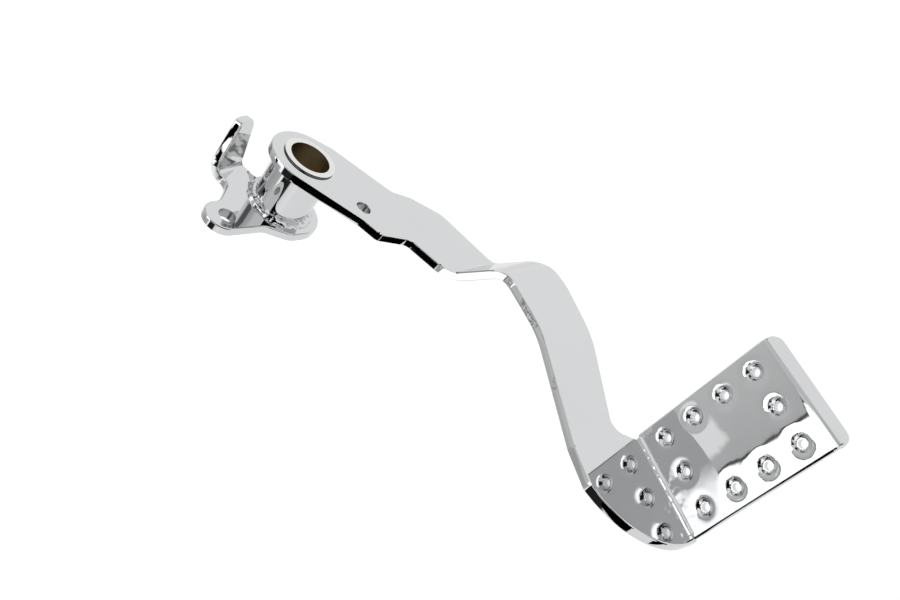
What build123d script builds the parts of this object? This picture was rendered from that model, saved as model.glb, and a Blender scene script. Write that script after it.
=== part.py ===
from build123d import *
from math import acos, atan2, cos, hypot, radians, sin, tan
import os

# Foot brake pedal for a motorcycle: a joggled flat steel arm on a pivot tube,
# with a folded rod lever at one end and a dimpled foot pad at the other.
#
# Frame: the origin is on the pivot axis, in the plane of the arm's outer face.
# +Y points outboard, away from the motorcycle, +X forward and +Z up.

# Pivot
bore_d = 19.05
bush_wall = 1.59
bush_length = 12.7
tube_end_wall = 1.2
tube_shoulder = 1.3
tube_length = 24.0
tube_proud = 0.8

# Arm, cut from flat bar and joggled outboard
arm_t = 4.76
arm_edge = 0.8
eye_r = 18.2
joggle = 13.4
joggle_run = 11.3
joggle_x = 73.2
inner_bend_r = 4.0
outer_bend_r = 6.0
link_hole_d = 6.5
link_hole_x = 30.3
link_hole_z = -11.2
link_hole_edge = 0.7

# Corners of the arm's outline: X, Z and the radius that rounds each
shoulder = (37.6, -5.2, 12.0)
lug_tip = (46.4, -9.0, 4.0)
lug_foot = (51.6, -25.6, 5.0)
joggle_top = (68.2, -32.4, 8.0)
valley = (88.5, -53.4, 10.0)
rise_start = (118.0, -45.9, 45.0)
rise_end = (168.0, -8.9, 12.0)
heel_start = (183.0, -1.5, 6.0)
heel_r = 40.0
heel_lean = 75.0
notch_step = (1.0, 3.2, 2.0)
notch = (171.4, -40.6, 5.0)
belly_rise = (131.0, -79.4, 60.0)
belly = (103.0, -91.6, 22.0)
joggle_foot = (91.3, -92.9, 8.0)
joggle_bottom = (71.7, -71.5, 15.0)
waist_end = (39.2, -61.5, 10.0)
waist = (26.6, -47.9, 5.0)
waist_start = (22.0, -37.8, 7.0)
eye_foot = (-6.6, -19.8, 12.0)
pad_end_r = 1.5

# Foot pad, with a grid of dimpled holes round its edge
pad_x = 201.6
pad_z = -44.9
pad_tilt = 21.8
pad_t = 3.2
pad_width = 48.5
pad_flat = 69.3
lip_length = 6.4
lip_angle = 45.0
lip_bend_r = 1.6
lip_corner_r = 4.2
pad_edge = 0.7
hole_pitch = 15.875
holes_across = 3
holes_along = 4
hole_d = 3.4
recess_d = 7.0
recess_foot_d = 4.6
recess_depth = 1.9
collar_d = 7.2
collar_height = 1.1

# Rod lever, cut from thicker plate, with its stop tab folded outboard
lever_t = 4.76
lever_edge = 0.9
lever_eye_r = 18.1
lever_eye_x = 1.4
lever_eye_z = -1.6
lobe_r = 8.7
lobe_x = 3.7
lobe_z = 34.6
rod_hole_d = 7.94
rod_hole_x = 4.3
rod_hole_z = 33.4
lobe_flank = 48.0
lobe_flank_drop = 3.2
lobe_flank_r = 6.0
lobe_front_flare = 0.2
lobe_front_drop = 17.6
lobe_front_r = 8.0
lever_shoulder = 7.1
lever_shoulder_r = 11.0
tab_heel_r = 4.0
tab_direction = 165.0
tab_reach = 26.5
tab_side = 7.4
tab_width = 18.0
tab_fold = 78.0
tab_bend_r = 2.5
tab_length = 24.0
tab_taper_start = 5.0
tab_tip_width = 9.5
tab_tip_r = 4.0

# Weld beads
lever_weld_leg = 2.0
arm_weld_leg = 2.0
pad_weld_leg = 1.7
pad_weld_margin = 1.5
bead_bulge = 0.65

# Part of a side that the rounds at its two ends may take together
side_share = 0.999

# Sizes that follow from these
bush_d = bore_d + 2 * bush_wall
tube_end_d = bush_d + 2 * tube_end_wall
tube_d = tube_end_d + 2 * tube_shoulder
tube_outer_y = tube_proud
arm_inner_y = -arm_t
lever_outer_y = arm_inner_y - tube_length
lever_inner_y = lever_outer_y - lever_t
tube_inner_y = lever_inner_y - tube_proud
tread_run = Vector(cos(radians(pad_tilt)), 0, sin(radians(pad_tilt)))
tread_up = Vector(-sin(radians(pad_tilt)), 0, cos(radians(pad_tilt)))
tread_centre = Vector(pad_x, joggle, pad_z)


def tread_corner(along, below):
    """Corner of the pad's end against the arm, as X and Z."""
    corner = tread_centre + tread_run * along - tread_up * below
    return corner.X, corner.Z


def side_outline(corners, close=True):
    """Outline from corners given as X, Z and the radius that rounds each.

    Where two neighbouring rounds would need more than the side between them,
    both shrink until they share it.
    """
    points = [Vector(x, z) for x, z, radius in corners]
    reach = []
    for index, (x, z, radius) in enumerate(corners):
        before = points[index] - points[index - 1]
        after = points[(index + 1) % len(points)] - points[index]
        reach.append(radius * tan(radians(before.get_angle(after) / 2)))
    room = [1.0] * len(points)
    for index, point in enumerate(points):
        side = (point - points[index - 1]).length
        share = side_share * side / max(reach[index - 1] + reach[index], side_share * side)
        room[index - 1] = min(room[index - 1], share)
        room[index] = min(room[index], share)
    radii = [corner[2] * factor for corner, factor in zip(corners, room)]
    if not close:
        radii = radii[1:-1]
    FilletPolyline(*points, radius=radii, close=close)


def eye_tangent(x, z, side):
    """Point where a line from X, Z touches the arm's round eye, on one side, with no round."""
    angle = atan2(z, x) + side * acos(eye_r / hypot(x, z))
    return eye_r * cos(angle), eye_r * sin(angle), 0


def rim_edges(piece, skipped):
    """Edges all round a bent plate, without those along the skipped directions."""
    edges = piece.edges()
    for axis in skipped:
        edges = edges - edges.filter_by(axis)
    return edges


def round_edges(piece, radius):
    """Full circles of one radius, such as the two rims of a hole."""
    circles = piece.edges().filter_by(GeomType.CIRCLE)
    return circles.filter_by(lambda edge: edge.is_closed and abs(edge.radius - radius) < 0.01)


# Arm: the joggled course seen from above, cut to the outline seen from the side
pad_rear = tread_corner(-pad_width / 2, 0)
pad_rear_low = tread_corner(-pad_width / 2, pad_t)
pad_front_low = tread_corner(pad_width / 2, pad_t)
heel_front = (pad_front_low[0] + pad_edge, pad_front_low[1])
heel_top = heel_start[1]
heel_corner_x = heel_front[0] - (heel_top - heel_front[1]) / tan(radians(heel_lean))
eye_top = eye_tangent(*shoulder[:2], 1)
eye_bottom = eye_tangent(*eye_foot[:2], -1)
arm_corners = [
    eye_top,
    shoulder,
    lug_tip,
    lug_foot,
    joggle_top,
    valley,
    rise_start,
    rise_end,
    heel_start,
    (heel_corner_x, heel_top, heel_r),
    (*heel_front, pad_end_r),
    (*pad_rear_low, pad_end_r),
    (pad_rear[0] + notch_step[0], pad_rear[1] + notch_step[1], notch_step[2]),
    notch,
    belly_rise,
    belly,
    joggle_foot,
    joggle_bottom,
    waist_end,
    waist,
    waist_start,
    eye_foot,
    eye_bottom,
]

with BuildPart() as arm:
    with BuildSketch(Plane.XY):
        with BuildLine():
            FilletPolyline(
                (-2 * eye_r, 0),
                (joggle_x, 0),
                (joggle_x + joggle_run, joggle),
                (pad_x + pad_width, joggle),
                radius=[inner_bend_r, outer_bend_r + arm_t],
            )
            offset(amount=arm_t, side=Side.RIGHT)
        make_face()
    extrude(amount=4 * eye_r + pad_width, both=True)
    with BuildSketch(Plane.XZ):
        with BuildLine():
            side_outline(arm_corners, close=False)
            ThreePointArc(eye_bottom[:2], (-eye_r, 0), eye_top[:2])
        make_face()
    extrude(amount=4 * joggle, both=True, mode=Mode.INTERSECT)
    chamfer(rim_edges(arm, (Axis.Y, Axis.Z)), arm_edge)
    with BuildSketch(Plane.XZ):
        with Locations((link_hole_x, link_hole_z)):
            Circle(link_hole_d / 2)
    extrude(amount=arm_t, mode=Mode.SUBTRACT)
    chamfer(round_edges(arm, link_hole_d / 2), link_hole_edge)
    with BuildSketch(Plane.XZ):
        Circle(tube_end_d / 2)
    extrude(amount=arm_t, mode=Mode.SUBTRACT)
arm.part.label = "arm"

# Pivot tube: full diameter between the plates, turned down where it passes through them
with BuildPart() as pivot_tube:
    with BuildSketch(Plane.XY):
        with BuildLine():
            Polyline(
                (bush_d / 2, tube_inner_y),
                (tube_end_d / 2, tube_inner_y),
                (tube_end_d / 2, lever_outer_y),
                (tube_d / 2, lever_outer_y),
                (tube_d / 2, arm_inner_y),
                (tube_end_d / 2, arm_inner_y),
                (tube_end_d / 2, tube_outer_y),
                (bush_d / 2, tube_outer_y),
                close=True,
            )
        make_face()
    revolve(axis=Axis.Y)
pivot_tube.part.label = "pivot_tube"

# Bronze bushes pressed flush into the tube's ends
with BuildPart() as outer_bush:
    with BuildSketch(Plane.XZ.offset(-tube_outer_y)):
        Circle(bush_d / 2)
        Circle(bore_d / 2, mode=Mode.SUBTRACT)
    extrude(amount=bush_length)
outer_bush.part.label = "outer_bush"

with BuildPart() as inner_bush:
    with BuildSketch(Plane.XZ.offset(-tube_inner_y)):
        Circle(bush_d / 2)
        Circle(bore_d / 2, mode=Mode.SUBTRACT)
    extrude(amount=-bush_length)
inner_bush.part.label = "inner_bush"

# Rod lever: one plate round the tube, up to the rod hole and back to the stop tab
tab_out = Vector(cos(radians(tab_direction)), 0, sin(radians(tab_direction)))
tab_up = Vector(sin(radians(tab_direction)), 0, -cos(radians(tab_direction)))
tab_middle = Vector(0, lever_outer_y, 0) + tab_up * tab_side
tab_bend_start = tab_reach - tab_bend_r * tan(radians(tab_fold / 2))
tab_tip = (
    tab_reach + tab_length * cos(radians(tab_fold)),
    tab_length * sin(radians(tab_fold)),
)
tab_run = tab_out * cos(radians(tab_fold)) + Vector(0, sin(radians(tab_fold)), 0)
tab_plane = Plane(tab_middle + tab_out * tab_reach, x_dir=tab_run, z_dir=tab_run.cross(tab_up))


def tab_root(side):
    """Where the flat plate ends and the tab's bend starts, on one side, as X and Z."""
    end = tab_out * tab_bend_start + tab_up * (tab_side + side * tab_width / 2)
    return end.X, end.Z


def on_tab_side(side, x, z, slope):
    """Where a line through X, Z, rising at a slope in degrees, meets one side of the tab."""
    line = Vector(cos(radians(slope)), 0, sin(radians(slope)))
    step = (tab_side + side * tab_width / 2 - Vector(x, 0, z).dot(tab_up)) / line.dot(tab_up)
    return x + line.X * step, z + line.Z * step


lever_left = lever_eye_x - lever_eye_r
lever_right = lever_eye_x + lever_eye_r
lever_bottom = lever_eye_z - lever_eye_r
lobe_left = lobe_x - lobe_r
lobe_right = lobe_x + lobe_r
lobe_top = lobe_z + lobe_r
lobe_flank_top = (lobe_left, lobe_z - lobe_flank_drop)
lever_corners = [
    (*tab_root(1), 0),
    (*on_tab_side(1, *lobe_flank_top, lobe_flank), lobe_flank_r),
    (*lobe_flank_top, lobe_flank_r),
    (lobe_left, lobe_top, lobe_r),
    (lobe_right, lobe_top, lobe_r),
    (lobe_right + lobe_front_flare, lobe_z - lobe_front_drop, lobe_front_r),
    (lever_right, lever_eye_z + lever_shoulder, lever_shoulder_r),
    (lever_right, lever_bottom, lever_eye_r),
    (lever_left, lever_bottom, lever_eye_r),
    (*on_tab_side(-1, lever_left, lever_eye_z, 90), tab_heel_r),
    (*tab_root(-1), 0),
]

with BuildPart() as rod_lever:
    with BuildSketch(Plane.XZ.offset(-lever_outer_y)):
        with BuildLine():
            side_outline(lever_corners)
        make_face()
    extrude(amount=lever_t)
    with BuildSketch(Plane(origin=tab_middle, x_dir=tab_out, z_dir=-tab_up)):
        with BuildLine():
            FilletPolyline(
                (tab_reach - lever_t, 0),
                (tab_reach, 0),
                tab_tip,
                radius=tab_bend_r,
            )
            offset(amount=lever_t, side=Side.RIGHT)
        make_face()
    extrude(amount=tab_width / 2, both=True)
    with BuildSketch(tab_plane):
        with BuildLine():
            Polyline(
                (tab_taper_start, tab_width / 2),
                (tab_length, tab_tip_width - tab_width / 2),
                (2 * tab_length, tab_tip_width - tab_width / 2),
                (2 * tab_length, tab_width),
                (tab_taper_start, tab_width),
                close=True,
            )
        make_face()
    extrude(amount=2 * lever_t, both=True, mode=Mode.SUBTRACT)
    tab_thickness = Axis(tab_plane.origin, tab_plane.z_dir)
    fillet(rod_lever.edges().filter_by(tab_thickness).group_by(Axis.Y)[-1], tab_tip_r)
    fold_line = Axis(tab_plane.origin, tab_up)
    chamfer(rim_edges(rod_lever, (Axis.Y, tab_thickness, fold_line)), lever_edge)
    with BuildSketch(Plane.XZ.offset(-lever_outer_y)):
        with Locations((rod_hole_x, rod_hole_z)):
            Circle(rod_hole_d / 2)
        Circle(tube_end_d / 2)
    extrude(amount=lever_t, mode=Mode.SUBTRACT)
rod_lever.part.label = "rod_lever"

# Foot pad: plate with a lip along its outboard end, and dimples pressed round its edge
pad_section = Plane(origin=tread_centre, x_dir=(0, 1, 0), z_dir=tread_run)
pad_plane = Plane(origin=tread_centre, x_dir=(0, 1, 0), z_dir=tread_up)
lip_normal = tread_up * cos(radians(lip_angle)) + Vector(0, sin(radians(lip_angle)), 0)

with BuildPart() as dimple:
    with BuildSketch(Plane.XZ):
        with BuildLine():
            Polyline(
                (0, 0),
                (recess_d / 2, 0),
                (recess_foot_d / 2, -recess_depth),
                (hole_d / 2, -recess_depth),
                (hole_d / 2, -2 * pad_t),
                (0, -2 * pad_t),
                close=True,
            )
        make_face()
    revolve(axis=Axis.Z)

first_row = -(holes_across - 1) / 2 * hole_pitch
first_column = (pad_flat - (holes_along - 1) * hole_pitch) / 2
hole_places = [
    pad_plane.location * Location((first_column + column * hole_pitch, first_row + row * hole_pitch, 0))
    for column in range(holes_along)
    for row in range(holes_across)
    if column in (0, holes_along - 1) or row in (0, holes_across - 1)
]

with BuildPart() as foot_pad:
    with BuildSketch(pad_section):
        with BuildLine():
            FilletPolyline(
                (0, 0),
                (pad_flat, 0),
                (
                    pad_flat + lip_length * cos(radians(lip_angle)),
                    -lip_length * sin(radians(lip_angle)),
                ),
                radius=lip_bend_r + pad_t,
            )
            offset(amount=pad_t, side=Side.RIGHT)
        make_face()
    extrude(amount=pad_width / 2, both=True)
    lip_thickness = Axis(tread_centre, lip_normal)
    fillet(foot_pad.edges().filter_by(lip_thickness), lip_corner_r)
    pad_thickness = Axis(tread_centre, tread_up)
    bend_lines = Axis(tread_centre, tread_run)
    outboard_end = foot_pad.edges().filter_by(bend_lines).sort_by(Axis.Y)[-2:]
    pad_rim = rim_edges(foot_pad, (lip_thickness, pad_thickness, bend_lines)) + outboard_end
    chamfer(pad_rim, pad_edge)
    with Locations(*hole_places):
        with Locations((0, 0, -pad_t - collar_height / 2)):
            Cylinder(collar_d / 2, collar_height)
        add(dimple.part, mode=Mode.SUBTRACT)
foot_pad.part.label = "foot_pad"

# Weld beads
with BuildPart() as lever_weld:
    with BuildSketch(Plane.XY):
        with BuildLine():
            bead_crown = lever_weld_leg * bead_bulge
            Polyline(
                (tube_d / 2, lever_outer_y),
                (tube_d / 2 + lever_weld_leg, lever_outer_y),
                (tube_d / 2 + bead_crown, lever_outer_y + bead_crown),
                (tube_d / 2, lever_outer_y + lever_weld_leg),
                close=True,
            )
        make_face()
    revolve(axis=Axis.Y)
lever_weld.part.label = "lever_weld"

with BuildPart() as arm_weld:
    with BuildSketch(Plane.XY):
        with BuildLine():
            bead_crown = arm_weld_leg * bead_bulge
            Polyline(
                (tube_d / 2, arm_inner_y),
                (tube_d / 2 + arm_weld_leg, arm_inner_y),
                (tube_d / 2 + bead_crown, arm_inner_y - bead_crown),
                (tube_d / 2, arm_inner_y - arm_weld_leg),
                close=True,
            )
        make_face()
    revolve(axis=Axis.Y)
arm_weld.part.label = "arm_weld"

with BuildPart() as pad_weld:
    with BuildSketch(pad_section):
        with BuildLine():
            bead_crown = pad_weld_leg * bead_bulge
            Polyline(
                (0, 0),
                (pad_weld_leg, 0),
                (bead_crown, bead_crown),
                (0, pad_weld_leg),
                close=True,
            )
        make_face()
    extrude(amount=pad_width / 2 - pad_weld_margin, both=True)
pad_weld.part.label = "pad_weld"

pieces = [
    arm,
    pivot_tube,
    outer_bush,
    inner_bush,
    rod_lever,
    foot_pad,
    lever_weld,
    arm_weld,
    pad_weld,
]
os.makedirs("parts", exist_ok=True)
for piece in pieces:
    export_step(piece.part, f"parts/{piece.part.label}.step")
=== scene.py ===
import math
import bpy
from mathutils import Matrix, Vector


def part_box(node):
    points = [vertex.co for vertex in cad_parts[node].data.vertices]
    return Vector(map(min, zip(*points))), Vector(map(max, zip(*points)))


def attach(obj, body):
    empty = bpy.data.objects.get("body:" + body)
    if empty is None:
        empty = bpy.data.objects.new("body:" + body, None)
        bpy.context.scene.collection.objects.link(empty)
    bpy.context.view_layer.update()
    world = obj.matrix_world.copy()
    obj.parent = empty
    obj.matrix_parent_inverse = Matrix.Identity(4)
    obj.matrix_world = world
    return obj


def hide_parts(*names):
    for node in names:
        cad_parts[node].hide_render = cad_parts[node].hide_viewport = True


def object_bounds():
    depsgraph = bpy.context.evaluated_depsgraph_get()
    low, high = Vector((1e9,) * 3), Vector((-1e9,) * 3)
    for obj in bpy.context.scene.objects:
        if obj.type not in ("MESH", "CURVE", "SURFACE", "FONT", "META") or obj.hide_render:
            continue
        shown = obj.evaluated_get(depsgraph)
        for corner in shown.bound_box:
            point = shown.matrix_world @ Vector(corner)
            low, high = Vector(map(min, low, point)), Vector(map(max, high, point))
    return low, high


bl_info = {
    "name": "Motorcycle Brake Pedal",
    "version": (1, 0, 0),
    "blender": (4, 5, 0),
    "location": "View3D > Sidebar > Brake Pedal",
    "description": "Chromed brake pedal with its polish, weld beads and dimpled tread, on a white stage",
    "category": "Object",
}

import bmesh
import bpy
from bpy.props import FloatProperty, FloatVectorProperty, IntProperty, PointerProperty
from bpy.types import Operator, Panel, PropertyGroup
from mathutils import Matrix, Vector, noise

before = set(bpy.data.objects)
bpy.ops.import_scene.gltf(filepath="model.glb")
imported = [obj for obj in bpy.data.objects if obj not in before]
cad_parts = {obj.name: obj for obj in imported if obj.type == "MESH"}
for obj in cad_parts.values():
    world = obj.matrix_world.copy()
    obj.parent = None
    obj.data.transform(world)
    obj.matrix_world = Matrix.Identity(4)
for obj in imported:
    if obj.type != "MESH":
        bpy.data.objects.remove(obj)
cad_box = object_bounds()

MM = 0.001

# An edge that turns by less than this shades round: cut plates first, pressed sheet second
ROUND_ANGLE = math.radians(52)
PRESSED_ANGLE = math.radians(66)

# How strongly the wider of two faces decides on the shading of the edge between them
AREA_POWER = 3
PRESSED_POWER = 1

# The foot pad's tread, as the frame carries it
TREAD_TILT = math.radians(21.8)
TREAD_CENTRE = Vector((201.6, 13.4, -44.9)) * MM
TREAD_RUN = Vector((math.cos(TREAD_TILT), 0, math.sin(TREAD_TILT)))
TREAD_UP = Vector((-math.sin(TREAD_TILT), 0, math.cos(TREAD_TILT)))
ACROSS = Vector((0, 1, 0))
PAD_FLAT = 69.3 * MM
PAD_WIDTH = 48.5 * MM
HOLE_PITCH = 15.875 * MM
HOLES_ALONG = 4
HOLES_ACROSS = 3
RECESS_R = 3.5 * MM
RECESS_DEPTH = 1.9 * MM
RECESS_SLACK = 1.01

# Just past the arm's outboard face, beyond which the tube stands proud
SEAT_FACE_Y = 0.05 * MM

# Metals that no property sets: plate thin in a bore and darkened further there as painted shade, bare
# steel, and a near-black colour on the tube's side where it stands proud of the arm
BORE_PLATE_AND_SHADE_COLOR = (0.36, 0.36, 0.37)
FACED_COLOR = (0.78, 0.78, 0.76)
PROUD_RIM_DARK_COLOR = (0.02, 0.02, 0.024)

# Corners closer than the first of these are one, and a cut that near to a corner goes through it
MERGE_DISTANCE = 1e-6
CUT_DISTANCE = 1e-7

# A face is a plate's cut wall below the first of these slopes, and a turned end above the second
WALL_SLOPE = 0.35
END_SLOPE = 0.9


class PedalSizes(PropertyGroup):
    """Sizes of the details that the frame leaves plain"""

    dish_radius: FloatProperty(
        name="Dish Radius",
        description="Radius of the shallow dish pressed round each hole of the tread",
        default=7.6 * MM,
        unit="LENGTH",
    )
    dish_depth: FloatProperty(
        name="Dish Depth",
        description="Depth of that dish at the rim of the recess",
        default=0.10 * MM,
        unit="LENGTH",
    )
    mouth_radius: FloatProperty(
        name="Mouth Radius",
        description="Radius at which the sheet starts to roll over into a recess",
        default=4.4 * MM,
        unit="LENGTH",
    )
    mouth_drop: FloatProperty(
        name="Mouth Drop",
        description="How far the sheet has rolled down at the rim of the recess",
        default=0.18 * MM,
        unit="LENGTH",
    )
    tread_step: FloatProperty(
        name="Tread Step",
        description="Spacing of the cuts that let the tread bend",
        default=0.55 * MM,
        unit="LENGTH",
    )
    bead_ripples: IntProperty(
        name="Bead Ripples",
        description="Ripples in one turn of a weld bead round the tube",
        default=18,
    )
    bead_leg: FloatProperty(
        name="Bead Leg",
        description="Width of the rough bead that joins the tube to the lever",
        default=3.5 * MM,
        unit="LENGTH",
    )
    bead_ripple_height: FloatProperty(
        name="Ripple Height",
        description="How far the ripples of a weld bead swell and sink",
        default=0.35 * MM,
        unit="LENGTH",
    )
    bead_lump_height: FloatProperty(
        name="Lump Height",
        description="How far a weld bead wanders from an even width",
        default=1.0 * MM,
        unit="LENGTH",
    )


class PedalFinish(PropertyGroup):
    """Colours and polish of the metals"""

    chrome_color: FloatVectorProperty(
        name="Chrome",
        description="Colour of the chrome plate",
        subtype="COLOR",
        default=(0.655, 0.662, 0.668),
    )
    bronze_color: FloatVectorProperty(
        name="Bronze",
        description="Colour of the sintered bronze bushes",
        subtype="COLOR",
        default=(0.36, 0.29, 0.18),
    )
    polish: FloatProperty(
        name="Polish",
        description="Roughness of the polished plate",
        default=0.022,
        subtype="FACTOR",
    )


class PedalStage(PropertyGroup):
    """Camera and surroundings"""

    lens: FloatProperty(
        name="Lens",
        description="Focal length on a sensor 36 mm wide",
        default=32.177,
        unit="CAMERA",
    )
    camera_place: FloatVectorProperty(
        name="Camera Place",
        description="Where the camera stands",
        subtype="TRANSLATION",
        default=(0.181405, 0.187281, 0.260700),
    )
    camera_target: FloatVectorProperty(
        name="Camera Target",
        description="The point in the middle of the picture",
        subtype="TRANSLATION",
        default=(0.078125, -0.015868, -0.045),
    )
    camera_roll: FloatProperty(
        name="Camera Roll",
        description="How far the camera is turned about its own axis",
        subtype="ANGLE",
        default=math.radians(105.046),
    )
    floor_gap: FloatProperty(
        name="Floor Gap",
        description="Height at which the pedal is held over the floor",
        default=0.15,
        unit="LENGTH",
    )
    floor_size: FloatProperty(
        name="Floor Size",
        description="Radius of the floor",
        default=4.0,
        unit="LENGTH",
    )


def clean_mesh(bm):
    """Joins doubled corners and turns every face outwards."""
    bmesh.ops.remove_doubles(bm, verts=bm.verts, dist=MERGE_DISTANCE)
    bmesh.ops.recalc_face_normals(bm, faces=bm.faces)


def eased_normals(bm, limit, power):
    """Normals by corner: wide faces keep their own and the narrow ones between them bend."""
    bm.normal_update()
    shares = {face: face.normal * (face.calc_area() / MM**2) ** power for face in bm.faces}
    closest = math.cos(limit)
    normals = []
    for face in bm.faces:
        for vertex in face.verts:
            near = (other for other in vertex.link_faces if other.normal.dot(face.normal) > closest)
            normals.append(sum((shares[other] for other in near), Vector()).normalized())
    return normals


def add_piece(bm, name, slot, materials, nodes, limit=ROUND_ANGLE, power=AREA_POWER):
    """Makes a mesh the piece that stands for some nodes of the frame."""
    for face in bm.faces:
        face.smooth = True
    mesh = bpy.data.meshes.new(name)
    normals = eased_normals(bm, limit, power)
    bm.to_mesh(mesh)
    bm.free()
    mesh.normals_split_custom_set(normals)
    for material in materials:
        mesh.materials.append(material)
    piece = bpy.data.objects.new(name, mesh)
    bpy.context.scene.collection.objects.link(piece)
    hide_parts(*nodes)
    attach(piece, "root")
    return piece


def node_copy(node):
    """The mesh of a node of the frame, with its loose triangles joined."""
    bm = bmesh.new()
    bm.from_mesh(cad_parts[node].data)
    clean_mesh(bm)
    return bm


def hole_centres():
    """Centres of the tread's holes: a grid with its inside left out."""
    first_row = -(HOLES_ACROSS - 1) / 2 * HOLE_PITCH
    first_column = (PAD_FLAT - (HOLES_ALONG - 1) * HOLE_PITCH) / 2
    centres = []
    for column in range(HOLES_ALONG):
        middle = TREAD_CENTRE + ACROSS * (first_column + column * HOLE_PITCH)
        for row in range(HOLES_ACROSS):
            if column in (0, HOLES_ALONG - 1) or row in (0, HOLES_ACROSS - 1):
                centres.append(middle + TREAD_RUN * (first_row + row * HOLE_PITCH))
    return centres


def cut(bm, place, direction):
    """Cuts a mesh along a plane and keeps both its sides."""
    geometry = bm.verts[:] + bm.edges[:] + bm.faces[:]
    bmesh.ops.bisect_plane(bm, geom=geometry, plane_co=place, plane_no=direction, dist=CUT_DISTANCE)


def slice_mesh(bm, origin, direction, start, stop, step):
    """Cuts a mesh with evenly spaced planes, so that its flat faces can bend."""
    count = int((stop - start) / step)
    for index in range(count + 1):
        cut(bm, origin + direction * (start + index * (stop - start) / count), direction)


def new_group(name, inputs, outputs):
    """A shader node group with numbers for inputs and outputs, and its two end nodes."""
    group = bpy.data.node_groups.new(name, "ShaderNodeTree")
    for label, value in inputs.items():
        socket = group.interface.new_socket(name=label, in_out="INPUT", socket_type="NodeSocketFloat")
        socket.default_value = value
    for label in outputs:
        group.interface.new_socket(name=label, in_out="OUTPUT", socket_type="NodeSocketFloat")
    return group, group.nodes.new("NodeGroupInput"), group.nodes.new("NodeGroupOutput")


def object_place(tree):
    """Where a point is on the pedal, in metres."""
    return tree.nodes.new("ShaderNodeTexCoord").outputs["Object"]


def cloud_node(tree, place, size, detail=2.0):
    """Soft noise over a place, with its size from a socket or a plain number."""
    cloud = tree.nodes.new("ShaderNodeTexNoise")
    cloud.inputs["Detail"].default_value = detail
    tree.links.new(place, cloud.inputs["Vector"])
    if isinstance(size, float):
        cloud.inputs["Scale"].default_value = size
    else:
        tree.links.new(size, cloud.inputs["Scale"])
    return cloud.outputs["Fac"]


def math_node(tree, operation, first, second):
    """A Math node fed by sockets or plain numbers."""
    node = tree.nodes.new("ShaderNodeMath")
    node.operation = operation
    for index, value in enumerate((first, second)):
        if isinstance(value, (int, float)):
            node.inputs[index].default_value = value
        else:
            tree.links.new(value, node.inputs[index])
    return node.outputs[0]


def polish_group():
    """Height and roughness of plate that was polished by hand: slow waves, peel and faint haze."""
    inputs = {
        "Wave Size": 60.0,
        "Wave Height": 0.06,
        "Peel Size": 700.0,
        "Peel Height": 0.002,
        "Polish": 0.045,
    }
    group, given, result = new_group("Polished Plate", inputs, ("Height", "Roughness"))
    place = object_place(group)
    waves = cloud_node(group, place, given.outputs["Wave Size"])
    waves = math_node(group, "MULTIPLY", waves, given.outputs["Wave Height"])
    peel = cloud_node(group, place, given.outputs["Peel Size"])
    peel = math_node(group, "MULTIPLY", peel, given.outputs["Peel Height"])
    group.links.new(math_node(group, "ADD", waves, peel), result.inputs["Height"])
    haze = cloud_node(group, place, 90.0, 6.0)
    haze = math_node(group, "MULTIPLY", haze, given.outputs["Polish"])
    least = math_node(group, "MULTIPLY", given.outputs["Polish"], 0.5)
    group.links.new(math_node(group, "ADD", haze, least), result.inputs["Roughness"])
    return group


def cut_group():
    """Height of the marks that cutting leaves across a plate's wall, softened by polishing."""
    group, given, result = new_group("Cut Marks", {"Pitch": 900.0, "Depth": 0.03}, ("Height",))
    place = object_place(group)
    along = group.nodes.new("ShaderNodeMapping")
    along.inputs["Scale"].default_value = (1.0, 0.06, 1.0)
    group.links.new(place, along.inputs["Vector"])
    marks = cloud_node(group, along.outputs["Vector"], given.outputs["Pitch"], 3.0)
    strength = math_node(group, "SUBTRACT", cloud_node(group, place, 45.0), 0.38)
    strength = math_node(group, "MAXIMUM", strength, 0.04)
    strength = math_node(group, "MULTIPLY", strength, given.outputs["Depth"])
    group.links.new(math_node(group, "MULTIPLY", marks, strength), result.inputs["Height"])
    return group


def wrinkle_group():
    """Height of the wrinkles that a weld's heat leaves in the sheet beside it."""
    inputs = {"Weld Place": 0.0, "Reach": 8 * MM, "Depth": 0.13}
    group, given, result = new_group("Sheet Beside a Weld", inputs, ("Height",))
    place = object_place(group)
    axes = group.nodes.new("ShaderNodeSeparateXYZ")
    group.links.new(place, axes.inputs[0])
    away = math_node(group, "SUBTRACT", axes.outputs["Y"], given.outputs["Weld Place"])
    share = math_node(group, "DIVIDE", away, given.outputs["Reach"])
    share = math_node(group, "MAXIMUM", math_node(group, "SUBTRACT", 1.0, share), 0.0)
    wrinkles = cloud_node(group, place, 220.0, 1.0)
    wrinkles = math_node(group, "MULTIPLY", wrinkles, given.outputs["Depth"])
    group.links.new(math_node(group, "MULTIPLY", wrinkles, share), result.inputs["Height"])
    return group


def place_group(tree, group, **values):
    """Puts a node group into a material with its own values."""
    node = tree.nodes.new("ShaderNodeGroup")
    node.node_tree = group
    for name, value in values.items():
        node.inputs[name.replace("_", " ").title()].default_value = value
    return node


def metal(name, color, metallic, height, roughness, shade):
    """Makes a metal whose relief, roughness and tint are set by the given builders."""
    material = bpy.data.materials.new(name)
    material.use_nodes = True
    material.diffuse_color = (*color, 1)
    tree = material.node_tree
    shader = tree.nodes["Principled BSDF"]
    shader.inputs["Metallic"].default_value = metallic
    tree.links.new(shade(tree), shader.inputs["Base Color"])
    tree.links.new(roughness(tree), shader.inputs["Roughness"])
    bump = tree.nodes.new("ShaderNodeBump")
    bump.inputs["Distance"].default_value = MM
    tree.links.new(height(tree), bump.inputs["Height"])
    tree.links.new(bump.outputs["Normal"], shader.inputs["Normal"])


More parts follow.
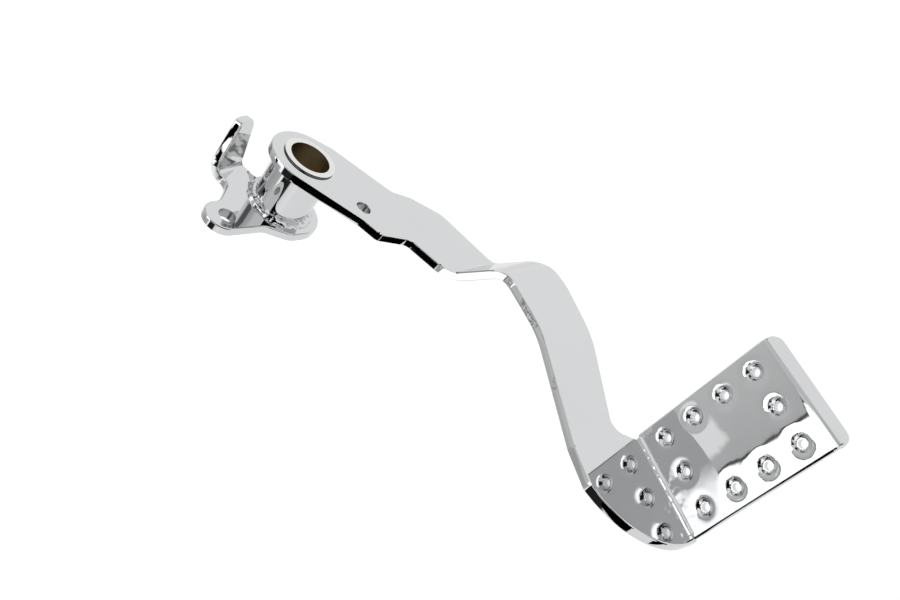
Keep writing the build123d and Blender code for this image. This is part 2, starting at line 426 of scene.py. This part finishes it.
def tinted(color, spread, size):
    """Builder of a colour that drifts a little over the surface."""

    def build(tree):
        ramp = tree.nodes.new("ShaderNodeValToRGB")
        ramp.color_ramp.elements[0].color = (*(c * (1 - spread) for c in color), 1)
        ramp.color_ramp.elements[1].color = (*(c * (1 + spread) for c in color), 1)
        tree.links.new(cloud_node(tree, object_place(tree), size, 4.0), ramp.inputs["Fac"])
        return ramp.outputs["Color"]

    return build


# The finishes, by the names of their materials
PLATE = "Chrome on Flat Bar"
TREAD = "Chrome on Pressed Sheet"
WALL = "Chrome on Cut Edge"
TURNED = "Chrome on Turned Tube"
BEAD = "Chrome on Weld"
BORE_PLATE_AND_SHADE = "Thin Chrome in a Bore, Painted Darker"
FACED = "Faced Tube End"
PROUD_RIM_DARK = "Near-Black Proud Rim"
BRONZE = "Oiled Bronze"


def make_finishes(finish):
    """Makes all the materials of the pedal."""
    chrome = tuple(finish.chrome_color)
    bronze = tuple(finish.bronze_color)
    polish = polish_group()
    cuts = cut_group()
    wrinkles = wrinkle_group()

    def relief(**values):
        return lambda tree: place_group(tree, polish, **values).outputs["Height"]

    def sheet_relief(tree):
        smooth = relief(wave_size=75.0, wave_height=0.022, peel_height=0.0003)(tree)
        rough = place_group(tree, wrinkles, weld_place=TREAD_CENTRE.y).outputs["Height"]
        return math_node(tree, "ADD", smooth, rough)

    def cut_relief(tree):
        return place_group(tree, cuts, pitch=900.0, depth=0.003).outputs["Height"]

    def haze(amount):
        return lambda tree: place_group(tree, polish, polish=amount).outputs["Roughness"]

    metal(
        PLATE, chrome, 1.0,
        relief(wave_size=55.0, wave_height=0.02, peel_height=0.0004),
        haze(finish.polish), tinted(chrome, 0.02, 30.0),
    )
    metal(TREAD, chrome, 1.0, sheet_relief, haze(finish.polish), tinted(chrome, 0.03, 60.0))
    metal(WALL, chrome, 1.0, cut_relief, haze(finish.polish * 1.5), tinted(chrome, 0.03, 200.0))
    metal(
        TURNED, chrome, 1.0,
        relief(wave_size=70.0, wave_height=0.03, peel_height=0.001),
        haze(finish.polish), tinted(chrome, 0.02, 60.0),
    )
    metal(
        BEAD, chrome, 1.0,
        relief(wave_size=500.0, wave_height=0.3, peel_size=1800.0, peel_height=0.03),
        haze(finish.polish * 2), tinted(chrome, 0.04, 300.0),
    )
    # Plate in a bore: thin plating, and a darker base colour that is painted shade
    metal(
        BORE_PLATE_AND_SHADE, BORE_PLATE_AND_SHADE_COLOR, 1.0,
        relief(wave_size=600.0, wave_height=0.03), haze(0.3), tinted(BORE_PLATE_AND_SHADE_COLOR, 0.2, 900.0),
    )
    metal(
        FACED, FACED_COLOR, 1.0,
        relief(wave_size=300.0, wave_height=0.01), haze(0.2), tinted(FACED_COLOR, 0.03, 300.0),
    )
    # Near-black, matt colour on the side of the tube's end that stands proud of the arm
    metal(
        PROUD_RIM_DARK, PROUD_RIM_DARK_COLOR, 0.0,
        relief(wave_size=900.0, wave_height=0.02), haze(0.5), tinted(PROUD_RIM_DARK_COLOR, 0.3, 500.0),
    )
    metal(
        BRONZE, bronze, 1.0,
        relief(wave_size=900.0, wave_height=0.02, peel_size=4000.0, peel_height=0.02),
        haze(0.35), tinted(bronze, 0.12, 400.0),
    )


def finishes(*names):
    """The materials of these names, all made when the first piece asks for one."""
    if PLATE not in bpy.data.materials:
        make_finishes(bpy.context.scene.pedal_finish)
    return [bpy.data.materials[name] for name in names]


# The small bore of each plate: X, Z and a radius just past it, in mm
SMALL_BORES = {"arm": (30.3, -11.2, 3.7), "rod_lever": (4.3, 33.4, 4.2)}


def dress_plate(node, materials):
    """Copies a plate of the frame and gives its cut walls and its bores finishes of their own."""
    bm = node_copy(node)
    bore_x, bore_z, bore_r = (value * MM for value in SMALL_BORES[node])
    bore = Vector((bore_x, 0, bore_z))
    for face in bm.faces:
        offset = face.calc_center_median() - bore
        offset.y = 0
        if offset.length < bore_r:
            # Faces in the small bore take the bore's metal: thin plate, darkened as painted shade
            face.material_index = 2
        elif abs(face.normal.y) < WALL_SLOPE:
            face.material_index = 1
    return add_piece(bm, f"{node}_plate", node, materials, [node])


class PEDAL_OT_arm(Operator):
    """Dress the joggled arm: polished faces and cut walls"""

    bl_idname = "pedal.arm"
    bl_label = "Arm"

    def execute(self, context):
        dress_plate("arm", finishes(PLATE, WALL, BORE_PLATE_AND_SHADE))
        return {"FINISHED"}


class PEDAL_OT_rod_lever(Operator):
    """Dress the rod lever with its folded tab"""

    bl_idname = "pedal.rod_lever"
    bl_label = "Rod Lever"

    def execute(self, context):
        dress_plate("rod_lever", finishes(PLATE, TURNED, BORE_PLATE_AND_SHADE))
        return {"FINISHED"}


class PEDAL_OT_pivot(Operator):
    """Dress the pivot tube and its two bronze bushes"""

    bl_idname = "pedal.pivot"
    bl_label = "Pivot"

    def execute(self, context):
        for node, finish in (("pivot_tube", TURNED), ("outer_bush", BRONZE), ("inner_bush", BRONZE)):
            bm = node_copy(node)
            cut(bm, ACROSS * SEAT_FACE_Y, ACROSS)
            bm.normal_update()
            for face in bm.faces:
                centre = face.calc_center_median()
                if abs(face.normal.y) > END_SLOPE:
                    face.material_index = 1
                elif centre.y > SEAT_FACE_Y and face.normal.dot(Vector((centre.x, 0, centre.z))) > 0:
                    # The outer side that stands proud of the arm takes the near-black colour
                    face.material_index = 2
            add_piece(bm, f"{node}_turned", node, finishes(finish, FACED, PROUD_RIM_DARK), [node])
        return {"FINISHED"}


class PEDAL_OT_foot_pad(Operator):
    """Press a shallow dish round each hole of the foot pad"""

    bl_idname = "pedal.foot_pad"
    bl_label = "Foot Pad"

    def execute(self, context):
        sizes = context.scene.pedal_sizes
        bm = node_copy("foot_pad")
        half = PAD_WIDTH / 2
        slice_mesh(bm, TREAD_CENTRE, TREAD_RUN, -half, half, sizes.tread_step)
        slice_mesh(bm, TREAD_CENTRE, ACROSS, 0, PAD_FLAT, sizes.tread_step)
        centres = hole_centres()
        for vertex in bm.verts:
            offset = vertex.co - TREAD_CENTRE
            height = offset.dot(TREAD_UP)
            if height < -RECESS_DEPTH * RECESS_SLACK or offset.y > PAD_FLAT:
                continue
            on_tread = offset - TREAD_UP * height
            nearest = min((TREAD_CENTRE + on_tread - centre).length for centre in centres)
            drop = 0
            for radius, depth in (
                (sizes.dish_radius, sizes.dish_depth),
                (sizes.mouth_radius, sizes.mouth_drop),
            ):
                slope = (radius - nearest) / (radius - RECESS_R)
                drop += depth * min(max(slope, 0), 1) ** 2
            share = 1 + height / RECESS_DEPTH
            vertex.co -= TREAD_UP * drop * max(share, 0)
        shading = (PRESSED_ANGLE, PRESSED_POWER)
        add_piece(bm, "foot_pad_pressed", "foot_pad", finishes(TREAD), ["foot_pad"], *shading)
        return {"FINISHED"}


# How a bead wanders: its stride, the bow of its ripples, and its coarse and fine lumps, each
# with how fast it changes along a metre, and the first, second and last with a strength
BEAD_DRIFT, BEAD_STRIDE = 2.2, 120
BEAD_BOW, BEAD_BOW_TURNS = 1.2, 700
BEAD_COARSE_LUMPS = 170
BEAD_FINE_SHARE, BEAD_FINE_LUMPS = 0.5, 330

# How much flatter than a quarter circle a bead is, and how finely it is made
BEAD_FLATNESS = 0.08
RING_STEPS = 360
PAD_BEAD_STEPS = 110

# The foot pad's bead is calmer than the ones round the tube
PAD_RIPPLE_SHARE = 1 / 8
PAD_LUMP_SHARE = 1 / 16


def swell_bead(bm, corner_of, turn_of, ripples, ripple_height, lump_height):
    """Gives a bead its ripples, each one a crescent that bows along the weld."""
    for vertex in bm.verts:
        corner = corner_of(vertex.co)
        out = vertex.co - corner
        size = out.length
        if size < MERGE_DISTANCE:
            continue
        drift = noise.noise(corner * BEAD_STRIDE) * BEAD_DRIFT
        bow = BEAD_BOW * math.sin(size * BEAD_BOW_TURNS)
        crescent = math.sin(ripples * turn_of(vertex.co) + drift + bow) ** 2
        fine = BEAD_FINE_SHARE * noise.noise(vertex.co * BEAD_FINE_LUMPS)
        lump = noise.noise(corner * BEAD_COARSE_LUMPS) + fine
        swell = ripple_height * (crescent - 1) + lump_height * (lump - 0.5)
        vertex.co += out.normalized() * min(swell, 0)


class PEDAL_OT_welds(Operator):
    """Lay the rippled weld beads over the plain beads of the frame"""

    bl_idname = "pedal.welds"
    bl_label = "Weld Beads"

    def execute(self, context):
        sizes = context.scene.pedal_sizes
        tube_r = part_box("pivot_tube")[1].x
        for node, away in (("lever_weld", 1), ("arm_weld", -1)):
            low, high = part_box(node)
            leg = max(high.x - tube_r, sizes.bead_leg) if away > 0 else high.x - tube_r
            start = low.y if away > 0 else high.y
            bm = self.ring(tube_r, leg, start, away)
            swell_bead(
                bm,
                lambda co, seat=ACROSS * start: Vector((co.x, 0, co.z)).normalized() * tube_r + seat,
                lambda co: math.atan2(co.z, co.x) / 2,
                sizes.bead_ripples,
                sizes.bead_ripple_height,
                sizes.bead_lump_height,
            )
            clean_mesh(bm)
            add_piece(bm, f"{node}_bead", "weld", finishes(BEAD), [node])
        self.pad_bead(sizes)
        return {"FINISHED"}

    @staticmethod
    def section(bm, corner, first, second, leg, steps=9):
        """Closed section of a bead in the corner between two directions."""
        points = [corner]
        for step in range(steps + 1):
            angle = math.radians(90) * step / steps
            bulge = 1 - BEAD_FLATNESS * math.sin(2 * angle)
            points.append(corner + (first * math.cos(angle) + second * math.sin(angle)) * leg * bulge)
        verts = [bm.verts.new(point) for point in points]
        return verts, [bm.edges.new((verts[i - 1], verts[i])) for i in range(len(verts))]

    def ring(self, tube_r, leg, start, away):
        """A bead all round the tube."""
        bm = bmesh.new()
        corner = Vector((tube_r, start, 0))
        verts, edges = self.section(bm, corner, Vector((1, 0, 0)), ACROSS * away, leg)
        bmesh.ops.spin(
            bm,
            geom=verts + edges,
            cent=(0, 0, 0),
            axis=(0, 1, 0),
            angle=math.tau,
            steps=RING_STEPS,
            use_merge=True,
        )
        clean_mesh(bm)
        return bm

    def pad_bead(self, sizes):
        """The smooth bead along the foot pad's root."""
        low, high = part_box("pad_weld")
        leg = high.y - low.y
        half = (high.x - low.x) / 2 / math.cos(TREAD_TILT)
        start = TREAD_CENTRE - TREAD_RUN * (half - leg / 2)
        length = 2 * half - leg
        bm = bmesh.new()
        verts, edges = self.section(bm, start, ACROSS, TREAD_UP, leg)
        face = bm.faces.new(verts)
        for _ in range(PAD_BEAD_STEPS):
            grown = bmesh.ops.extrude_face_region(bm, geom=[face])
            moved = [item for item in grown["geom"] if isinstance(item, bmesh.types.BMVert)]
            bmesh.ops.translate(bm, verts=moved, vec=TREAD_RUN * length / PAD_BEAD_STEPS)
            bmesh.ops.delete(bm, geom=[face], context="FACES_ONLY")
            face = next(item for item in grown["geom"] if isinstance(item, bmesh.types.BMFace))
        bmesh.ops.holes_fill(bm, edges=[edge for edge in bm.edges if edge.is_boundary])
        swell_bead(
            bm,
            lambda co: start + TREAD_RUN * (co - start).dot(TREAD_RUN),
            lambda co: (co - start).dot(TREAD_RUN) / length,
            sizes.bead_ripples / 2,
            sizes.bead_ripple_height * PAD_RIPPLE_SHARE,
            sizes.bead_lump_height * PAD_LUMP_SHARE,
        )
        clean_mesh(bm)
        add_piece(bm, "pad_weld_bead", "weld", finishes(TREAD), ["pad_weld"])


def white_for_camera(tree, strength, surface):
    """Joins a surface with plain white for what the camera sees directly."""
    path = tree.nodes.new("ShaderNodeLightPath")
    glow = tree.nodes.new("ShaderNodeEmission")
    glow.inputs["Strength"].default_value = strength
    mix = tree.nodes.new("ShaderNodeMixShader")
    tree.links.new(path.outputs["Is Camera Ray"], mix.inputs["Fac"])
    tree.links.new(surface, mix.inputs[1])
    both = tree.nodes.new("ShaderNodeAddShader")
    tree.links.new(surface, both.inputs[0])
    tree.links.new(glow.outputs[0], both.inputs[1])
    tree.links.new(both.outputs[0], mix.inputs[2])
    return mix.outputs[0]


# Brightness of the studio in the metal, by angle round the pivot axis from straight ahead
# upwards, in degrees: behind the pedal, beside it, and in three bands ever further outboard
STUDIO_BEHIND = (
    (-180, 0.75),
    (-150, 0.90),
    (-60, 0.95),
    (30, 0.98),
    (40, 1.05),
    (62, 0.95),
    (67, 0.02),
    (99, 0.015),
    (101.5, 1.3),
    (108, 1.3),
    (110, 0.55),
    (140, 0.45),
    (180, 0.62),
)
STUDIO_BESIDE = (
    (-180, 0.75),
    (-150, 0.90),
    (0, 1.0),
    (58, 0.95),
    (66, 0.02),
    (99, 0.015),
    (102.6, 1.7),
    (180, 1.7),
)
STUDIO_OUTBOARD = (
    (-180, 1.0),
    (34, 1.0),
    (38, 0.02),
    (58, 0.02),
    (63, 1.0),
    (102, 1.0),
    (106, 2.3),
    (127.5, 2.3),
    (129, 0.68),
    (180, 1.0),
)
STUDIO_MIDDLE = (
    (-180, 1.0),
    (34, 1.0),
    (38, 0.02),
    (58, 0.02),
    (63, 1.0),
    (108, 1.0),
    (124, 0.72),
    (138, 0.66),
    (144, 0.16),
    (170, 0.16),
    (180, 1.0),
)
STUDIO_HIGH = (
    (-180, 1.0),
    (34, 1.0),
    (38, 0.02),
    (99, 0.02),
    (104, 0.35),
    (130, 0.45),
    (142, 1.0),
    (180, 1.0),
)

# Where the white card above the tread ends, seen finely: a thin dark line, then a grey wall
CARD_EDGE = (124.0, 134.0)
STUDIO_EDGE = (
    (124.0, 1.7),
    (128.10, 1.7),
    (128.17, 0.02),
    (128.37, 0.02),
    (128.48, 0.56),
    (134.0, 0.66),
)

# How far outboard a mirror looks, from -1 to 1, where each list gives way to the next
BEHIND_ENDS = (-0.52, -0.50)
OUTBOARD_BANDS = (
    (STUDIO_OUTBOARD, 0.1, 0.3),
    (STUDIO_MIDDLE, 0.495, 0.515),
    (STUDIO_HIGH, 0.62, 0.66),
)
WHITE_BAND = (0.93, 0.95)

# Towards what the middle of the tread mirrors: a small, ragged, bright patch in the grey
PATCH = Vector((-0.59, -0.436, 0.68))
PATCH_REACH = 0.022
PATCH_RAGGEDNESS = 28.0
PATCH_EDGE = (0.003, -0.004)

# The floor's paper, and what it adds for the camera, to be as white there as the studio
PAPER_COLOR = (0.9, 0.9, 0.9)
PAPER_ROUGHNESS = 0.9
PAPER_GLOW = 0.16

# Flags that only what is close to them mirrors: where each one's middle is, its width round
# the pivot axis and its depth along it, in mm, the way it faces, in degrees, its brightness,
# how patchy it is and how fine the patches are
FLAGS = (
    ("flag_first", (42.0, -4.0, 28.8), 58, 44, 53.5, 0.0, 0, 100.0),
    ("flag_lug", (62.0, -9.5, -21.0), 17, 18, 0, 0.0, 0, 100.0),
    ("flag_lug_top", (70.0, -10.0, 5.0), 34, 32, 20, 0.0, 0, 100.0),
    ("flag_joggle", (106.0, -14.0, -34.0), 44, 34, 17, 1.7, 0, 100.0),
    ("flag_valley", (97.5, -6.0, -21.0), 45, 36, 90, 0.5, 0.45, 420.0),
    ("flag_heel", (214.0, 3.5, 15.0), 34, 24, 50, 0.0, 0, 100.0),
    ("flag_front", (243.0, 38.0, -22.0), 16, 90, 36, 0.0, 0, 100.0),
    ("flag_tab_face", (-19.4, -23.8, -2.6), 24, 12, -70, 0.42, 0.5, 170.0),
    ("flag_tab_edge", (-32.0, -14.0, 45.0), 20, 24, 104, 0.9, 1.0, 130.0),
)
FLAG_REACH = 55 * MM
FLAG_PATCH_EDGE = (0.46, 0.54)


class PEDAL_OT_stage(Operator):
    """Set the white floor, the studio and the camera"""

    bl_idname = "pedal.stage"
    bl_label = "Stage"

    def execute(self, context):
        stage = context.scene.pedal_stage
        self.floor(stage)
        self.flags()
        self.world(context.scene)
        self.camera(context.scene, stage)
        context.scene.view_settings.view_transform = "Standard"
        return {"FINISHED"}

    def floor(self, stage):
        bm = bmesh.new()
        bmesh.ops.create_circle(bm, cap_ends=True, segments=64, radius=stage.floor_size)
        bmesh.ops.translate(bm, verts=bm.verts, vec=(0, 0, cad_box[0][2] - stage.floor_gap))
        mesh = bpy.data.meshes.new("floor")
        bm.to_mesh(mesh)
        bm.free()
        material = bpy.data.materials.new("White Paper")
        material.use_nodes = True
        tree = material.node_tree
        paper = tree.nodes["Principled BSDF"]
        paper.inputs["Base Color"].default_value = (*PAPER_COLOR, 1)
        paper.inputs["Roughness"].default_value = PAPER_ROUGHNESS
        white = white_for_camera(tree, PAPER_GLOW, paper.outputs[0])
        tree.links.new(white, tree.nodes["Material Output"].inputs["Surface"])
        mesh.materials.append(material)
        floor = bpy.data.objects.new("floor", mesh)
        bpy.context.scene.collection.objects.link(floor)
        floor.visible_glossy = False

    def flag_paint(self, level, patchiness, fineness):
        """A glow in patches that fades out for anything that mirrors it from afar."""
        material = bpy.data.materials.new("Flag")
        material.use_nodes = True
        tree = material.node_tree
        path = tree.nodes.new("ShaderNodeLightPath")
        near = math_node(tree, "LESS_THAN", path.outputs["Ray Length"], FLAG_REACH)
        back = tree.nodes.new("ShaderNodeNewGeometry").outputs["Backfacing"]
        near = math_node(tree, "MULTIPLY", near, back)
        cloud = cloud_node(tree, object_place(tree), fineness)
        patches = self.spread(tree, cloud, *FLAG_PATCH_EDGE)
        glow = tree.nodes.new("ShaderNodeEmission")
        light = math_node(tree, "MULTIPLY_ADD", patches, 2 * level * patchiness)
        light.node.inputs[2].default_value = level * (1 - patchiness)
        tree.links.new(light, glow.inputs["Strength"])
        clear = tree.nodes.new("ShaderNodeBsdfTransparent")
        mix = tree.nodes.new("ShaderNodeMixShader")
        tree.links.new(near, mix.inputs["Fac"])
        tree.links.new(clear.outputs[0], mix.inputs[1])
        tree.links.new(glow.outputs[0], mix.inputs[2])
        tree.links.new(mix.outputs[0], tree.nodes["Material Output"].inputs["Surface"])
        return material

    def flags(self):
        """Cards close to the pedal, which only the metal right behind them mirrors."""
        for name, middle, width, depth, facing, *glow in FLAGS:
            turn = Matrix.Rotation(math.radians(90 - facing), 4, "Y")
            size = Matrix.Diagonal((width * MM, depth * MM, 1, 1))
            place = Matrix.Translation(Vector(middle) * MM) @ turn @ size
            bm = bmesh.new()
            bmesh.ops.create_grid(bm, x_segments=1, y_segments=1, size=0.5, matrix=place)
            mesh = bpy.data.meshes.new(name)
            bm.to_mesh(mesh)
            bm.free()
            mesh.materials.append(self.flag_paint(*glow))
            flag = bpy.data.objects.new(name, mesh)
            bpy.context.scene.collection.objects.link(flag)
            flag.visible_camera = False
            flag.visible_diffuse = False
            flag.visible_shadow = False

    def ramp(self, tree, turn, levels, limits=(-180, 180)):
        """Brightness by angle, from a list of angles and levels."""
        node = tree.nodes.new("ShaderNodeValToRGB")
        stops = node.color_ramp.elements
        for index, (degrees, value) in enumerate(levels):
            place = (degrees - limits[0]) / (limits[1] - limits[0])
            stop = stops[index] if index < 2 else stops.new(place)
            stop.position = place
            stop.color = (value, value, value, 1)
        tree.links.new(turn, node.inputs["Fac"])
        return node.outputs["Color"]

    def blend(self, tree, fac, first, second):
        """Mixes two colours by a factor."""
        node = tree.nodes.new("ShaderNodeMix")
        node.data_type = "RGBA"
        tree.links.new(fac, node.inputs["Factor"])
        for name, value in (("A", first), ("B", second)):
            if isinstance(value, tuple):
                node.inputs[name].default_value = value
            else:
                tree.links.new(value, node.inputs[name])
        return node.outputs["Result"]

    def spread(self, tree, value, start, stop):
        """Maps a range of a value onto 0 to 1."""
        node = tree.nodes.new("ShaderNodeMapRange")
        node.inputs["From Min"].default_value = start
        node.inputs["From Max"].default_value = stop
        tree.links.new(value, node.inputs["Value"])
        return node.outputs["Result"]

    def world(self, scene):
        """White all round for light and camera, and the studio's cards for gloss."""
        white = (1, 1, 1, 1)
        world = bpy.data.worlds.new("Studio")
        scene.world = world
        world.use_nodes = True
        tree = world.node_tree
        direction = tree.nodes.new("ShaderNodeTexCoord").outputs["Generated"]
        axes = tree.nodes.new("ShaderNodeSeparateXYZ")
        tree.links.new(direction, axes.inputs[0])
        angle = math_node(tree, "ARCTAN2", axes.outputs["Z"], axes.outputs["X"])
        turn = math_node(tree, "MULTIPLY_ADD", angle, 1 / math.tau)
        turn.node.inputs[2].default_value = 0.5
        behind = self.ramp(tree, turn, STUDIO_BEHIND)
        beside = self.ramp(tree, turn, STUDIO_BESIDE)
        start, stop = ((degrees + 180) / 360 for degrees in CARD_EDGE)
        edge = self.ramp(tree, self.spread(tree, turn, start, stop), STUDIO_EDGE, CARD_EDGE)
        beside = self.blend(tree, math_node(tree, "GREATER_THAN", turn, start), beside, edge)
        studio = self.blend(tree, self.spread(tree, axes.outputs["Y"], *BEHIND_ENDS), behind, beside)
        offset = tree.nodes.new("ShaderNodeVectorMath")
        offset.operation = "DISTANCE"
        offset.inputs[1].default_value = PATCH
        tree.links.new(direction, offset.inputs[0])
        ragged = cloud_node(tree, direction, PATCH_RAGGEDNESS)
        reach = math_node(tree, "MULTIPLY", ragged, PATCH_REACH * 2)
        gap = math_node(tree, "SUBTRACT", offset.outputs["Value"], reach)
        patch = self.spread(tree, gap, *PATCH_EDGE)
        studio = self.blend(tree, patch, studio, white)
        for levels, start, stop in OUTBOARD_BANDS:
            share = self.spread(tree, axes.outputs["Y"], start, stop)
            studio = self.blend(tree, share, studio, self.ramp(tree, turn, levels))
        share = self.spread(tree, axes.outputs["Y"], *WHITE_BAND)
        studio = self.blend(tree, share, studio, white)
        path = tree.nodes.new("ShaderNodeLightPath")
        seen = self.blend(tree, path.outputs["Is Glossy Ray"], white, studio)
        tree.links.new(seen, tree.nodes["Background"].inputs["Color"])

    def camera(self, scene, stage):
        lens = bpy.data.cameras.new("photo_camera")
        lens.lens = stage.lens
        lens.sensor_width = 36
        lens.sensor_fit = "HORIZONTAL"
        lens.clip_start = 0.01
        camera = bpy.data.objects.new("photo_camera", lens)
        place = Vector(stage.camera_place)
        ahead = Vector(stage.camera_target) - place
        turn = ahead.to_track_quat("-Z", "Y").to_matrix().to_4x4()
        roll = Matrix.Rotation(-stage.camera_roll, 4, "Z")
        camera.matrix_world = Matrix.Translation(place) @ turn @ roll
        scene.collection.objects.link(camera)
        scene.camera = camera


class PEDAL_PT_panel(Panel):
    """Lists the pedal's steps and sizes"""

    bl_idname = "PEDAL_PT_panel"
    bl_label = "Brake Pedal"
    bl_space_type = "VIEW_3D"
    bl_region_type = "UI"
    bl_category = "Brake Pedal"

    def draw(self, context):
        for group in (context.scene.pedal_sizes, context.scene.pedal_finish, context.scene.pedal_stage):
            box = self.layout.box()
            for name in group.__annotations__:
                box.prop(group, name)
        for operator in OPERATORS:
            self.layout.operator(operator.bl_idname)


GROUPS = {"pedal_sizes": PedalSizes, "pedal_finish": PedalFinish, "pedal_stage": PedalStage}
OPERATORS = (
    PEDAL_OT_arm,
    PEDAL_OT_rod_lever,
    PEDAL_OT_pivot,
    PEDAL_OT_foot_pad,
    PEDAL_OT_welds,
    PEDAL_OT_stage,
)


def register():
    for kind in (*GROUPS.values(), *OPERATORS, PEDAL_PT_panel):
        bpy.utils.register_class(kind)
    for name, kind in GROUPS.items():
        setattr(bpy.types.Scene, name, PointerProperty(type=kind))


def unregister():
    for name in GROUPS:
        delattr(bpy.types.Scene, name)
    for kind in (PEDAL_PT_panel, *reversed(OPERATORS), *reversed(GROUPS.values())):
        bpy.utils.unregister_class(kind)


def main():
    register()
    bpy.ops.pedal.arm()
    bpy.ops.pedal.rod_lever()
    bpy.ops.pedal.pivot()
    bpy.ops.pedal.foot_pad()
    bpy.ops.pedal.welds()
    bpy.ops.pedal.stage()


if __name__ == "__main__":
    main()
